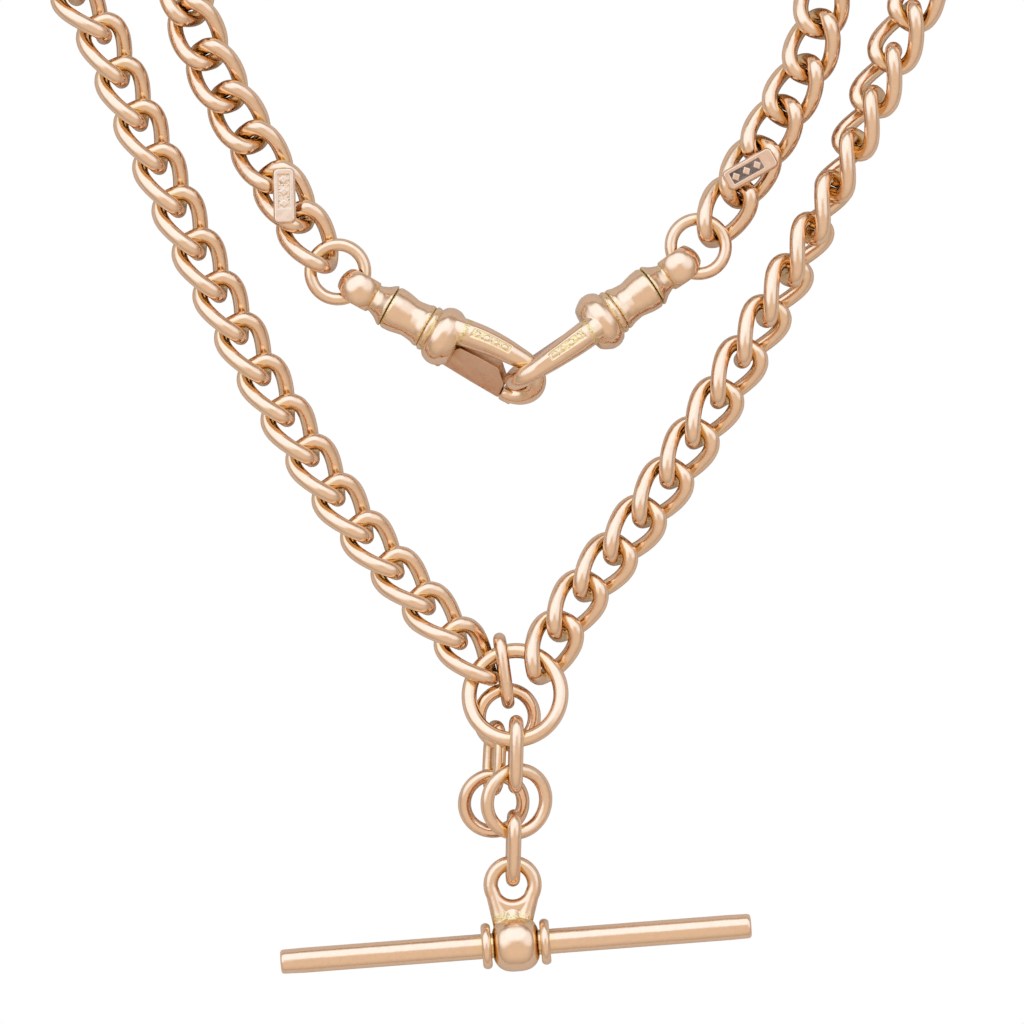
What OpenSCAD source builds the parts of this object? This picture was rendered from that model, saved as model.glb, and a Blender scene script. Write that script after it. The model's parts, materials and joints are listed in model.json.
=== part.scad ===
// Double Albert pocket watch chain, closed into a loop by its two swivel clips and laid flat.
// Units are millimetres. +Z is up from the surface the chain lies on, and the strands run towards +Y.

/* [Curb links] */
// Distance from one contact point to the next along a strand
link_pitch = 4.2; // [4.18:0.01:4.24]
// Diameter of the wire of a strand link
link_wire = 1.32; // [1.1:0.02:1.34]
// Half the width of a link, measured to the middle of the wire
link_half_width = 1.84; // [1.8:0.01:1.9]
// Twist from the middle of a link to each end, in degrees
link_twist = 48; // [45:1:50]
// Free play between two neighbouring links
link_play = 0.2; // [0.18:0.01:0.22]

/* [Centre rings and drops] */
// Diameter of the wire of the central ring
central_ring_wire = 1.36; // [1.2:0.02:1.38]
// Diameter of the wire of the T-bar drop's links
drop_link_wire = 1.25; // [1.1:0.01:1.26]
// Diameter of the wire of the T-bar drop's ring
drop_ring_wire = 1.2; // [1.1:0.01:1.22]
// Diameter of the wire of the fob drop's rings
fob_ring_wire = 1.18; // [1.1:0.01:1.2]
// Diameter of the wire of the fob drop's links
fob_link_wire = 1.12; // [1:0.01:1.14]

/* [T-bar] */
// Overall length of the T-bar
tbar_length = 42; // [36:0.5:44]
// Diameter of the T-bar's two arms
tbar_rod_d = 2.24; // [2.1:0.02:2.3]
// Diameter of the shaft that joins the arms through the ball and collars
tbar_shaft_d = 1.9; // [1.8:0.02:2]
// Diameter of the ball in the middle of the T-bar
tbar_ball_d = 4.9; // [4.6:0.1:5]
// Diameter of the two collars beside the ball
tbar_collar_d = 4.1; // [3.8:0.1:4.2]
// Width of each collar
tbar_collar_w = 1.05; // [0.9:0.05:1.1]

/* [Swivel clips] */
// Diameter of the swivel eye's dome
eye_d = 4.0; // [3.8:0.1:4.2]
// Diameter of the rim where the eye, barrel and hook collar meet
barrel_rim_d = 4.0; // [3.8:0.1:4.2]
// Diameter of the hook's fat rounded collar
collar_d = 5.4; // [5.2:0.1:5.6]
// Thickness of the wire where the hook's spine leaves the collar
hook_root_d = 2.2; // [2:0.05:2.3]
// Thickness of the wire round the end of the hook
hook_end_d = 1.7; // [1.5:0.05:1.74]

/* [Hidden] */
$fn = 48;
gold = [0.90, 0.66, 0.50];
pale_gold = [0.93, 0.74, 0.58];
spring_steel = [0.62, 0.63, 0.66];

// Moves the chain so that its bounding box stands centred on the origin, bottom at zero
frame_shift = [1.15, -33.59, 0.053];

// ---- Strand routes. Headings are in degrees from +X, one knot every few links ----
links_per_side = 39;
left_start = [-2.65, 1.9];
right_start = [2.17, 2.11];
left_headings = [[1, 132], [2, 132.5], [4, 130], [6, 123], [10, 117], [13, 114], [16, 113], [18, 138],
    [20, 128], [22, 83], [25, 16], [28, -52], [30, -97], [32, -100], [34, -68], [36, -60], [39, -59]];
right_headings = [[1, 64], [3, 50], [6, 58], [10, 61], [13, 66], [16, 67], [18, 48], [20, 55],
    [22, 95], [25, 162], [28, 230], [30, 274], [32, 287], [34, 264], [36, 242], [39, 238]];
// How far each link is rolled about the strand, in degrees
left_rolls = [[1, 40], [16, 40], [33, 180], [36, 180], [39, 156]];
right_rolls = [[1, 22], [5, 28], [8, 38], [10, 58], [12, 82], [14, 115], [16, 142], [33, 195],
    [36, 195], [39, 162]];
// How far each contact point is lifted off its resting height, near the ring and near the clips
left_lifts = [[0, 0.06], [1, 0.66], [3, 0], [36, 0], [39, 0.65]];
right_lifts = [[0, 0.9], [1, 0.6], [3, 0], [36, 0], [39, 0.65]];

// Link shape
link_half_length = (link_pitch + link_wire + link_play) / 2;
link_squareness = 3;
link_rings = 16;
link_sides = 6;

function signed_power(v, e) = sign(v) * pow(abs(v), e);
// A point on a link's centreline before it is rolled: along the link, then across it
function link_along(turn) = link_half_length * signed_power(cos(turn), 2 / link_squareness);
function link_across(turn) = link_half_width * signed_power(sin(turn), 2 / link_squareness);
function link_local(turn, roll) =
    let (along = link_along(turn), across = link_across(turn),
        twist = roll - link_twist * along / link_half_length)
    [along, across * cos(twist), across * sin(twist)];
// Height of a link's middle when it rests on the surface
function rest_height(roll) =
    link_wire / 2 + max([for (turn = [0 : 7.5 : 180]) abs(link_local(turn, roll).z)]);

function step_along(headings, k) =
    link_pitch * [cos(lookup(k, headings)), sin(lookup(k, headings))];
// The contact points of one strand, from the central ring to the jump ring
function strand_joints(start, headings, rolls, lifts) =
    [for (k = 0, p = start; k <= links_per_side; k = k + 1, p = p + step_along(headings, k))
        [p.x, p.y, rest_height(lookup(k, rolls)) + lookup(k, lifts)]];
left_joints = strand_joints(left_start, left_headings, left_rolls, left_lifts);
right_joints = strand_joints(right_start, right_headings, right_rolls, right_lifts);

// Links that share a node; those of each span move together
link_spans = [[1, 2], [3, 4], [5, 6], [7, 8], [9, 10], [11, 13], [14, 16], [17, 19],
    [20, 22], [23, 25], [26, 27], [28, 30], [31, 33], [34, 36], [37, 39]];
function two_digits(n) = n < 10 ? str("0", n) : str(n);
function span_name(side, span) = str(side, "_links_", two_digits(span[0]), "_", two_digits(span[1]));

// ---- Poses of the rings and links round the centre: [middle, rotation] ----
central_ring_r = 4.1;
central_ring_pose = [[-0.08, -0.17, 3.48], [-16.9, -5.7, 0]];
drop_upper_pose = [[-0.02, -5.4, 4.47], [6.4, 2.2, -0.9]];
drop_ring_r = 2.84;
drop_ring_pose = [[0.05, -9.61, 3.79], [7, 24.2, 0]];
drop_lower_pose = [[-0.22, -13.78, 3.08], [16.8, 2.4, -0.8]];
drop_link_length = 5.73;
drop_link_half_width = 1.52;
tbar_eye_r = 1.95;
tbar_eye_wire = 1.3;
tbar_eye_centre = [-0.3, -17.08, 2.58];
tbar_centre = [0, -22.35, 2.5];
tbar_heading = 4.4;
tbar_fit = 0.1;
tbar_ball_w = 4.2;
tbar_collar_gap = 0.1;
tbar_collar_bevel = 0.3;
tbar_neck_top_d = 1.3;
tbar_neck_foot_d = 2.4;
// The neck's foot sinks this far into the ball
tbar_neck_sink = 1.4;
fob_upper_pose = [[-1.08, 1.96, 2.14], [3.5, 2.2, 7.9]];
fob_upper_length = 5.74;
fob_link_half_width = 1.5;
fob_upper_ring_r = 2.48;
fob_upper_ring_pose = [[-0.81, -2.18, 1.93], [3.1, 9.4, 0]];
fob_long_pose = [[-1.93, -5.82, 1.9], [0, 19.6, -2.9]];
fob_long_length = 5.64;
fob_long_half_width = 1.42;
fob_end_ring_r = 2.62;
fob_end_ring_pose = [[-1.98, -9.86, 1.3], [13.6, 5.3, 0]];

// ---- Clips: [eye centre, roll about the clip, pitch down, heading] ----
// The hook's spine and its closed side lie this far apart, either side of the clip's axis
hook_gap = 4.42;
left_clip_pose = [[-13.89, 35.87, 2.8], -135.7, -1.7, -29.1];
right_clip_pose = [[14.53, 37.85, 3.11], -98.5, -5, 214.5];
jump_ring_wire = 1.0;
jump_ring_play = 0.26;
eye_bore_r = 0.95;
// The jump ring pulls to the near side of the eye by this much
eye_pull = 0.1;
// Stations along a clip, measured from the middle of the eye
neck_x = 1.6;
neck_r = 1.35;
rim_x = 3.0;
barrel_start_x = 3.15;
barrel_end_x = 6.8;
barrel_waist_r = 1.7;
post_r = 0.65;
post_head_r = 1.05;
post_head_x = 4.9;
post_head_w = 0.6;
post_fit = 0.12;
collar_x = 7.3;
collar_end_x = 10;
hook_length = 8.7;
gate_pin_x = 9.2;
gate_pin_y = 1.75;
gate_pin_d = 0.7;
gate_pin_fit = 0.1;
gate_w = 1.15;
gate_slot_fit = 0.12;
// Room round the gate's knuckle, and the size of the slot cut for it
gate_knuckle_fit = 0.35;
gate_slot = 4;
gate_pin_length = 3.4;
gate_nose_x = 15.35;
gate_knuckle_r = 0.8;
// Along the clip, across it, and along the gate's pin
gate_spring_size = [1.6, 0.14, 0.8];
hook_bend_x = collar_end_x + hook_length - hook_end_d / 2 - hook_gap / 2;

// ---- Tag plates, soldered across the second link from each clip ----
tag_link = 38;
tag_length = 5.0;
tag_width = 2.0;
tag_thick = 0.5;
tag_recess = 0.15;
tag_rim = 0.35;
tag_corner = 0.5;
tag_gap = 0.02;
left_tag_turn = -29;
right_tag_turn = -30;

// ---- Shared shapes ----
module torus(ring_r, wire) {
    rotate_extrude($fn = 72) translate([ring_r, 0]) circle(d = wire, $fn = 36);
}

module half_torus(ring_r, wire) {
    rotate_extrude(angle = 180, $fn = 72) translate([ring_r, 0]) circle(d = wire, $fn = 36);
}

module posed(pose) {
    translate(pose[0]) rotate(pose[1]) children();
}

// Plain oval link standing on edge: long axis along Y, wire ends curving up and down in Z
module oval_link(length, half_width, wire) {
    straight = length / 2 - half_width;
    rotate([0, 90, 0]) {
        translate([0, straight, 0]) half_torus(half_width, wire);
        translate([0, -straight, 0]) mirror([0, 1, 0]) half_torus(half_width, wire);
        for (side = [-1, 1])
            translate([side * half_width, -straight, 0]) rotate([-90, 0, 0])
                cylinder(d = wire, h = 2 * straight, $fn = 36);
    }
}

function unit(v) = v / norm(v);

// Closed tube swept along a loop of points; each section lies across the wire and faces outwards
module closed_wire(points, middle, wire, sides) {
    count = len(points);
    sections = [for (i = [0 : count - 1])
        let (run = unit(points[(i + 1) % count] - points[(i + count - 1) % count]),
            out = points[i] - middle,
            across = unit(out - (out * run) * run),
            up = cross(run, across))
        for (j = [0 : sides - 1])
            points[i] + wire / 2 * (cos(360 * j / sides) * across + sin(360 * j / sides) * up)];
    faces = [for (i = [0 : count - 1], j = [0 : sides - 1])
        let (a = i * sides + j, b = i * sides + (j + 1) % sides,
            c = ((i + 1) % count) * sides + (j + 1) % sides, d = ((i + 1) % count) * sides + j)
        each [[a, c, b], [a, d, c]]];
    polyhedron(points = sections, faces = faces);
}

// One twisted curb link between two contact points
module curb_link(start, end, roll) {
    middle = (start + end) / 2;
    along = unit(end - start);
    across = unit(cross([0, 0, 1], along));
    up = cross(along, across);
    points = [for (i = [0 : link_rings - 1])
        let (p = link_local(360 * (i + 0.5) / link_rings, roll))
        middle + p.x * along + p.y * across + p.z * up];
    closed_wire(points, middle, link_wire, link_sides);
}

module strand_span(joints, rolls, span) {
    color(gold) for (k = [span[0] : span[1]])
        curb_link(joints[k - 1], joints[k], lookup(k, rolls));
}

// ---- Centre ring, T-bar drop and fob drop ----
module central_ring() {
    color(gold) posed(central_ring_pose) torus(central_ring_r, central_ring_wire);
}

module drop_upper_link() {
    color(gold) posed(drop_upper_pose) oval_link(drop_link_length, drop_link_half_width, drop_link_wire);
}

module drop_ring() {
    color(gold) posed(drop_ring_pose) torus(drop_ring_r, drop_ring_wire);
}

module drop_lower_link() {
    color(gold) posed(drop_lower_pose) oval_link(drop_link_length, drop_link_half_width, drop_link_wire);
}

module along_tbar() {
    translate(tbar_centre) rotate([0, 90, tbar_heading]) children();
}

// Ball with flattened ends and a cross bore for the rod, with the eye on its neck
module tbar_eye_ball() {
    neck_length = tbar_eye_centre.y - tbar_eye_r - tbar_centre.y - tbar_ball_d / 2 + tbar_neck_sink;
    color(gold) {
        difference() {
            union() {
                intersection() {
                    translate(tbar_centre) sphere(d = tbar_ball_d);
                    along_tbar() cylinder(d = tbar_ball_d + 1, h = tbar_ball_w, center = true);
                }
                translate([tbar_eye_centre.x, tbar_eye_centre.y - tbar_eye_r, tbar_eye_centre.z])
                    rotate([90, 0, 0])
                        cylinder(d1 = tbar_neck_top_d, d2 = tbar_neck_foot_d, h = neck_length);
                translate(tbar_eye_centre) torus(tbar_eye_r, tbar_eye_wire);
            }
            along_tbar() cylinder(d = tbar_shaft_d + 2 * tbar_fit, h = tbar_length, center = true);
        }
    }
}

// Two round-ended arms, joined by a thinner shaft that runs through the ball and the collars
module tbar_rod() {
    arm_start = tbar_ball_w / 2 + tbar_collar_gap + tbar_collar_w;
    arm_end = (tbar_length - tbar_rod_d) / 2;
    color(gold) along_tbar() {
        cylinder(d = tbar_shaft_d, h = 2 * arm_start, center = true);
        for (side = [0, 1]) mirror([0, 0, side]) {
            translate([0, 0, arm_start]) cylinder(d = tbar_rod_d, h = arm_end - arm_start);
            translate([0, 0, arm_end]) sphere(d = tbar_rod_d);
        }
    }
}

module tbar_collars() {
    inner = tbar_ball_w / 2 + tbar_collar_gap;
    rim = tbar_collar_d / 2;
    color(gold) along_tbar() {
        for (side = [0, 1]) mirror([0, 0, side]) translate([0, 0, inner]) rotate_extrude($fn = 72)
            polygon([[tbar_shaft_d / 2, 0], [rim - tbar_collar_bevel, 0], [rim, tbar_collar_bevel],
                [rim, tbar_collar_w - tbar_collar_bevel], [rim - tbar_collar_bevel, tbar_collar_w],
                [tbar_shaft_d / 2, tbar_collar_w]]);
    }
}

module fob_upper_link() {
    color(gold) posed(fob_upper_pose) oval_link(fob_upper_length, fob_link_half_width, fob_link_wire);
}

module fob_upper_ring() {
    color(gold) posed(fob_upper_ring_pose) torus(fob_upper_ring_r, fob_ring_wire);
}

module fob_long_link() {
    color(gold) posed(fob_long_pose) oval_link(fob_long_length, fob_long_half_width, fob_link_wire);
}

module fob_end_ring() {
    color(gold) posed(fob_end_ring_pose) torus(fob_end_ring_r, fob_ring_wire);
}

// ---- Jump rings and swivel clips ----
// The eye's middle and the jump ring's wire where it passes through the eye
function eye_wire(joint, pose) = pose[0] - eye_pull * unit(pose[0] - joint);
function jump_ring_r(joint, pose) =
    (norm(eye_wire(joint, pose) - joint) + (jump_ring_wire + jump_ring_play) / 2) / 2;

// Places a jump ring's plane through the strand's last contact point and the eye
module at_jump_ring(joint, pose) {
    run = pose[0] - joint;
    along = unit(run);
    translate(eye_wire(joint, pose) - jump_ring_r(joint, pose) * along)
        rotate([0, -asin(along.z), atan2(run.y, run.x)]) children();
}

module jump_ring(joint, pose) {
    color(gold) at_jump_ring(joint, pose) torus(jump_ring_r(joint, pose), jump_ring_wire);
}

// Clip frame: +X from the eye to the hook's end, +Y from the spine to the gate
module at_clip(pose) {
    translate(pose[0]) rotate([pose[1], pose[2], pose[3]]) children();
}

// Turns an outline of [station, radius] points about the clip's axis
module turned(outline) {
    rotate([0, 90, 0]) rotate_extrude($fn = 72)
        polygon([for (p = outline) [p.y, p.x]]);
}

// Domed eye on a flaring neck, with the headed post that turns inside the barrel
module swivel_eye(joint, pose) {
    color(gold) difference() {
        at_clip(pose) {
            sphere(d = eye_d, $fn = 64);
            turned([[0, 0], [0, 1.8], [neck_x, neck_r], [neck_x + 0.5, neck_r + 0.1],
                [rim_x - 0.15, barrel_rim_d / 2], [rim_x, barrel_rim_d / 2], [rim_x, post_r],
                [post_head_x, post_r], [post_head_x, post_head_r],
                [post_head_x + post_head_w, post_head_r], [post_head_x + post_head_w, 0]]);
        }
        at_jump_ring(joint, pose) torus(jump_ring_r(joint, pose), 2 * eye_bore_r);
    }
}

// Hollow barrel that holds the swivel's headed post
module swivel_barrel(pose) {
    color(gold) at_clip(pose) turned([[barrel_start_x, post_r + post_fit],
        [barrel_start_x, barrel_rim_d / 2], [barrel_start_x + 0.9, barrel_rim_d / 2 - 0.05],
        [barrel_start_x + 1.6, barrel_waist_r + 0.1], [barrel_start_x + 2.3, barrel_waist_r],
        [barrel_end_x - 0.5, barrel_rim_d / 2 - 0.15], [barrel_end_x - 0.2, barrel_rim_d / 2],
        [barrel_end_x, barrel_rim_d / 2], [barrel_end_x, 0],
        [post_head_x + post_head_w + post_fit, 0],
        [post_head_x + post_head_w + post_fit, post_head_r + post_fit],
        [post_head_x - post_fit, post_head_r + post_fit], [post_head_x - post_fit, post_r + post_fit]]);
}

// Round bar between two points of the hook's plane, tapering from one diameter to the other
module bar(from, to, d1, d2) {
    run = to - from;
    translate(from) rotate([0, 90, atan2(run.y, run.x)]) cylinder(d1 = d1, d2 = d2, h = norm(run));
}

// Fat collar, spine, and curved end of the hook, with the gate's slot and pin hole
module hook(pose) {
    side = hook_gap / 2;
    root = [collar_end_x - 1, -side + 0.55, 0];
    shoulder = [collar_end_x + 2.2, -side, 0];
    shoulder_d = (hook_root_d + hook_end_d) / 2;
    rim = collar_d / 2;
    slot_back = gate_knuckle_r + gate_knuckle_fit;
    color(gold) at_clip(pose) {
        difference() {
            turned([[barrel_end_x, 0], [barrel_end_x, 1.9], [barrel_end_x + 0.2, 2], [collar_x, 2],
                [collar_x + 0.1, rim - 0.5], [collar_x + 0.35, rim - 0.15], [collar_x + 0.8, rim],
                [collar_end_x - 0.8, rim], [collar_end_x - 0.3, rim - 0.25], [collar_end_x, rim - 0.8],
                [collar_end_x, 0]]);
            translate([gate_pin_x - slot_back, gate_pin_y - slot_back, -gate_w / 2 - gate_slot_fit])
                cube([gate_slot, gate_slot, gate_w + 2 * gate_slot_fit]);
            translate([gate_pin_x, gate_pin_y, 0])
                cylinder(d = gate_pin_d, h = 2 * gate_pin_length, center = true);
        }
        bar(root, shoulder, hook_root_d, shoulder_d);
        translate(shoulder) sphere(d = shoulder_d);
        bar(shoulder, [hook_bend_x, -side, 0], shoulder_d, hook_end_d);
        translate([hook_bend_x, 0, 0]) rotate([0, 0, -90]) half_torus(side, hook_end_d);
    }
}

module gate_pin(pose) {
    color(pale_gold) at_clip(pose) translate([gate_pin_x, gate_pin_y, 0])
        cylinder(d = gate_pin_d, h = gate_pin_length, center = true);
}

// Flat sprung lever that closes the hook
module gate(pose) {
    side = hook_gap / 2;
    color(gold) at_clip(pose) difference() {
        translate([0, 0, -gate_w / 2]) linear_extrude(gate_w) union() {
            translate([gate_pin_x, gate_pin_y]) circle(r = gate_knuckle_r, $fn = 48);
            polygon([[gate_pin_x, gate_pin_y - gate_knuckle_r], [gate_pin_x + 1.2, side - 1.2],
                [gate_nose_x, side - 0.45], [gate_nose_x, side + 0.6],
                [gate_pin_x, gate_pin_y + gate_knuckle_r]]);
        }
        translate([gate_pin_x, gate_pin_y, 0])
            cylinder(d = gate_pin_d + 2 * gate_pin_fit, h = 2 * gate_w, center = true);
    }
}

// Leaf spring lying on the floor of the gate's slot
module gate_spring(pose) {
    slot_back = gate_knuckle_r + gate_knuckle_fit;
    color(spring_steel) at_clip(pose)
        translate([gate_pin_x - slot_back + 0.1, gate_pin_y - slot_back, -gate_spring_size.z / 2])
            cube(gate_spring_size);
}

// Plate with a sunken panel, lying across one link
module tag_plate(joints, rolls, turn) {
    start = joints[tag_link - 1];
    end = joints[tag_link];
    run = end - start;
    along = unit(run);
    roll = lookup(tag_link, rolls);
    top = max([for (t = [0 : 7.5 : 360]) link_local(t, roll).z]) + link_wire / 2 + tag_gap;
    color(pale_gold) translate((start + end) / 2)
        rotate([0, -asin(along.z), atan2(run.y, run.x)]) translate([0, 0, top]) rotate([0, 0, turn])
            difference() {
                linear_extrude(tag_thick) tag_outline(0);
                translate([0, 0, tag_thick - tag_recess]) linear_extrude(1) tag_outline(tag_rim);
            }
}

// Rounded oblong, drawn smaller all round by the margin
module tag_outline(margin) {
    hull() for (x = [-1, 1], y = [-1, 1])
        translate([x * (tag_length / 2 - tag_corner), y * (tag_width / 2 - tag_corner)])
            circle(r = tag_corner - margin, $fn = 32);
}

// ---- One side: its strand, jump ring and clip ----
module one_side(side, joints, rolls, pose, tag_turn) {
    joint = joints[links_per_side];
    for (span = link_spans) {
        name = span_name(side, span);
        strand_span(joints, rolls, span);
    }
    jump_ring(joint, pose);
    swivel_eye(joint, pose);
    swivel_barrel(pose);
    hook(pose);
    gate(pose);
    gate_pin(pose);
    gate_spring(pose);
    tag_plate(joints, rolls, tag_turn);
}

translate(frame_shift) {
    central_ring();
    drop_upper_link();
    drop_ring();
    drop_lower_link();
    tbar_eye_ball();
    tbar_rod();
    tbar_collars();
    fob_upper_link();
    fob_upper_ring();
    fob_long_link();
    fob_end_ring();
    one_side("left", left_joints, left_rolls, left_clip_pose, left_tag_turn);
    one_side("right", right_joints, right_rolls, right_clip_pose, right_tag_turn);
}
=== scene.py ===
import json
import math
import bmesh
import bpy
import numpy as np
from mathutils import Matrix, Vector


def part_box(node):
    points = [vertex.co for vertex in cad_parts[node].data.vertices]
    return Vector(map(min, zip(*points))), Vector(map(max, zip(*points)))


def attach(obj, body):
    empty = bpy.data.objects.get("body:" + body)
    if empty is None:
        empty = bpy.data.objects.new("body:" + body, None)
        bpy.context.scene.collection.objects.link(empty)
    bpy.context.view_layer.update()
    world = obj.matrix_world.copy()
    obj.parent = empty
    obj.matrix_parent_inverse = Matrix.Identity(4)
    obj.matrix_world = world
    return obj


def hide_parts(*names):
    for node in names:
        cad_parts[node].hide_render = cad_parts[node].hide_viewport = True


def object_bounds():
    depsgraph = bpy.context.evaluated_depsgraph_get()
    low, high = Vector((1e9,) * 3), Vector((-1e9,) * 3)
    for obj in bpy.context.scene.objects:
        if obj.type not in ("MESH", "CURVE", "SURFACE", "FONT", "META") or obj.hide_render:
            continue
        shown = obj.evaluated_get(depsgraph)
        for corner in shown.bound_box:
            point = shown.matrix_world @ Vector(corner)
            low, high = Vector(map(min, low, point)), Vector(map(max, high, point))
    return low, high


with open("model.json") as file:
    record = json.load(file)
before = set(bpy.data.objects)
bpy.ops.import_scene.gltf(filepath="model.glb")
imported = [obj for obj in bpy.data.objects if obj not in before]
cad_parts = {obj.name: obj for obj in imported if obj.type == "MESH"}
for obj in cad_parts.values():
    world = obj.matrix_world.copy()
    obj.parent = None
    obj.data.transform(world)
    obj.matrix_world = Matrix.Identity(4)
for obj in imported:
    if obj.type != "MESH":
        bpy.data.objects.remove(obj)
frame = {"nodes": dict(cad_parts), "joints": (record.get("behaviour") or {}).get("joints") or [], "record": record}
cad_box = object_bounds()
CAD_LOW, CAD_HIGH = (np.array(corner) for corner in cad_box)

MM = 0.001
SIDES = ("left", "right")
NODES = frame["nodes"]
JOINTS = {joint["name"]: joint for joint in frame["joints"]}
BODY_OF = {node: body for body, nodes in frame["record"]["behaviour"]["bodies"].items() for node in nodes}

# Curb links
LINK_WIRE = 1.4 * MM
LINK_HALF_WIDTH = 1.84 * MM
LINK_CAD_WIRE = 1.32 * MM
LINK_TWIST = math.radians(48)
LINK_SQUARENESS = 3
# Plain oval links of the two drops
OVAL_SQUARENESS = 2.7
# T-bar
BALL_WIDTH = 4.2 * MM
BALL_POWER = 0.72
TBAR_EYE_R = 1.95 * MM
TBAR_EYE_WIRE = 1.3 * MM
COLLAR_SHARE = 0.8
# Each leg of the eye in mm: x and y of its top beside the eye's middle, x of its foot, foot radius
TBAR_LEGS = ((-1.88, -0.3, -0.82, 0.85), (1.88, -0.3, 0.82, 0.85), (0, -2.1, 0, 1.35))
# Clips: stations along the axis from the middle of the eye
SWIVEL_X = 3.1 * MM
NECK_X = 1.42 * MM
BARREL_X = (3.05 * MM, 6.8 * MM)
COLLAR_X = (6.8 * MM, 10.0 * MM)
EYE_R = 2.0 * MM
EYE_BORE_R = 1.12 * MM
EYE_HALF_WIDTH = 1.42 * MM
HOOK_HALF_GAP = 2.21 * MM
HOOK_BEND_X = 15.64 * MM
SPINE_X = 8.9 * MM
ROOT_HALF_GAP = 1.35 * MM
POST_R = 0.65 * MM
STAMP_X = 12.55 * MM
STUDS_X = (11.2 * MM, 12.1 * MM, 13.0 * MM, 13.9 * MM)


# ---------------------------------------------------------------- reading the frame
def solids(node):
    """The corner points of each separate solid in a CAD node, as arrays in metres."""
    mesh = bmesh.new()
    mesh.from_mesh(NODES[node].data)
    bmesh.ops.remove_doubles(mesh, verts=mesh.verts, dist=1e-7)
    left = set(mesh.verts)
    found = []
    for seed in mesh.verts:
        if seed not in left:
            continue
        left.remove(seed)
        queue, points = [seed], []
        while queue:
            vert = queue.pop()
            points.append(tuple(vert.co))
            for edge in vert.link_edges:
                other = edge.other_vert(vert)
                if other in left:
                    left.remove(other)
                    queue.append(other)
        found.append(np.array(points))
    mesh.free()
    return found


def own_frame(points):
    """Middle, (long, middle, thin) axes and half sizes of a solid along its own axes."""
    middle = points.mean(0)
    _, vectors = np.linalg.eigh(np.cov((points - middle).T))
    axes = vectors[:, ::-1].T.copy()
    if np.linalg.det(axes) < 0:
        axes[2] *= -1
    spread = (points - middle) @ axes.T
    middle = middle + ((spread.max(0) + spread.min(0)) / 2) @ axes
    half = (spread.max(0) - spread.min(0)) / 2
    return middle, axes, half


def unit(vector):
    return np.array(vector) / np.linalg.norm(vector)


def clip_frame(side):
    """Middle of a clip's eye, and its axes: along the clip, spine to gate, and across."""
    swivel, hinge = JOINTS[side + "_swivel"], JOINTS[side + "_gate_hinge"]
    along = unit(swivel["axis"])
    middle = np.array(swivel["pos_m"]) - SWIVEL_X * along
    to_gate = np.array(hinge["pos_m"]) - middle
    across = unit(to_gate - along * (to_gate @ along))
    return middle, np.array([along, across, np.cross(along, across)])


# ---------------------------------------------------------------- mesh building
def add_piece(name, verts, faces, material, node, slot="rose_gold"):
    """Makes a smooth mesh piece that rides the node's body and stands for the node."""
    verts = np.clip(verts, CAD_LOW, CAD_HIGH)
    mesh = bpy.data.meshes.new(name)
    mesh.from_pydata([tuple(v) for v in verts], [], faces)
    mesh.polygons.foreach_set("use_smooth", [True] * len(mesh.polygons))
    mesh.materials.append(material)
    mesh.update()
    piece = bpy.data.objects.new(name, mesh)
    bpy.context.scene.collection.objects.link(piece)
    claim(piece, node)
    return piece


def claim(piece, node):
    """The piece moves with the node's body and takes the node's place."""
    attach(piece, BODY_OF[node])
    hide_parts(node)


def swept(path, outwards, radii, sides, closed=True):
    """Round tube along a path; the first corner of each section faces outwards."""
    count = len(path)
    if closed:
        runs = np.roll(path, -1, 0) - np.roll(path, 1, 0)
    else:
        runs = np.gradient(path, axis=0)
    runs = runs / np.linalg.norm(runs, axis=1)[:, None]
    across = outwards - (outwards * runs).sum(1)[:, None] * runs
    across = across / np.linalg.norm(across, axis=1)[:, None]
    up = np.cross(runs, across)
    angles = np.linspace(0, 2 * math.pi, sides, endpoint=False)
    verts = (path[:, None] + np.asarray(radii)[:, None, None] * (
        np.cos(angles)[None, :, None] * across[:, None] + np.sin(angles)[None, :, None] * up[:, None]))
    faces = []
    for i in range(count if closed else count - 1):
        a, b = i * sides, (i + 1) % count * sides
        for j in range(sides):
            k = (j + 1) % sides
            faces.append((a + j, a + k, b + k, b + j))
    if not closed:
        faces.append(tuple(range(sides - 1, -1, -1)))
        faces.append(tuple((count - 1) * sides + j for j in range(sides)))
    return verts.reshape(-1, 3), faces


def circle(radius, steps):
    """Points round a circle in the XY plane."""
    turn = np.linspace(0, 2 * math.pi, steps, endpoint=False)
    return np.stack([radius * np.cos(turn), radius * np.sin(turn), 0 * turn], 1)


def joined(shapes):
    """Several (points, faces) shapes as one."""
    verts, faces, start = [], [], 0
    for points, loops in shapes:
        verts.append(points)
        faces += [tuple(i + start for i in loop) for loop in loops]
        start += len(points)
    return np.vstack(verts), faces


def turned(outline, segments=96):
    """Solid turned about its own X axis from [station, radius] points; both ends on the axis."""
    angles = np.linspace(0, 2 * math.pi, segments, endpoint=False)
    verts, faces, rings = [], [], []
    for x, r in outline:
        if r <= 0:
            rings.append([len(verts)])
            verts.append((x, 0, 0))
        else:
            rings.append(list(range(len(verts), len(verts) + segments)))
            verts += [(x, r * math.cos(a), r * math.sin(a)) for a in angles]
    for low, high in zip(rings, rings[1:]):
        for j in range(segments):
            k = (j + 1) % segments
            if len(low) == 1 and len(high) > 1:
                faces.append((low[0], high[j], high[k]))
            elif len(high) == 1 and len(low) > 1:
                faces.append((low[j], high[0], low[k]))
            elif len(low) > 1:
                faces.append((low[j], high[j], high[k], low[k]))
    faces = [tuple(reversed(f)) for f in faces]
    return np.array(verts), faces


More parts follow.
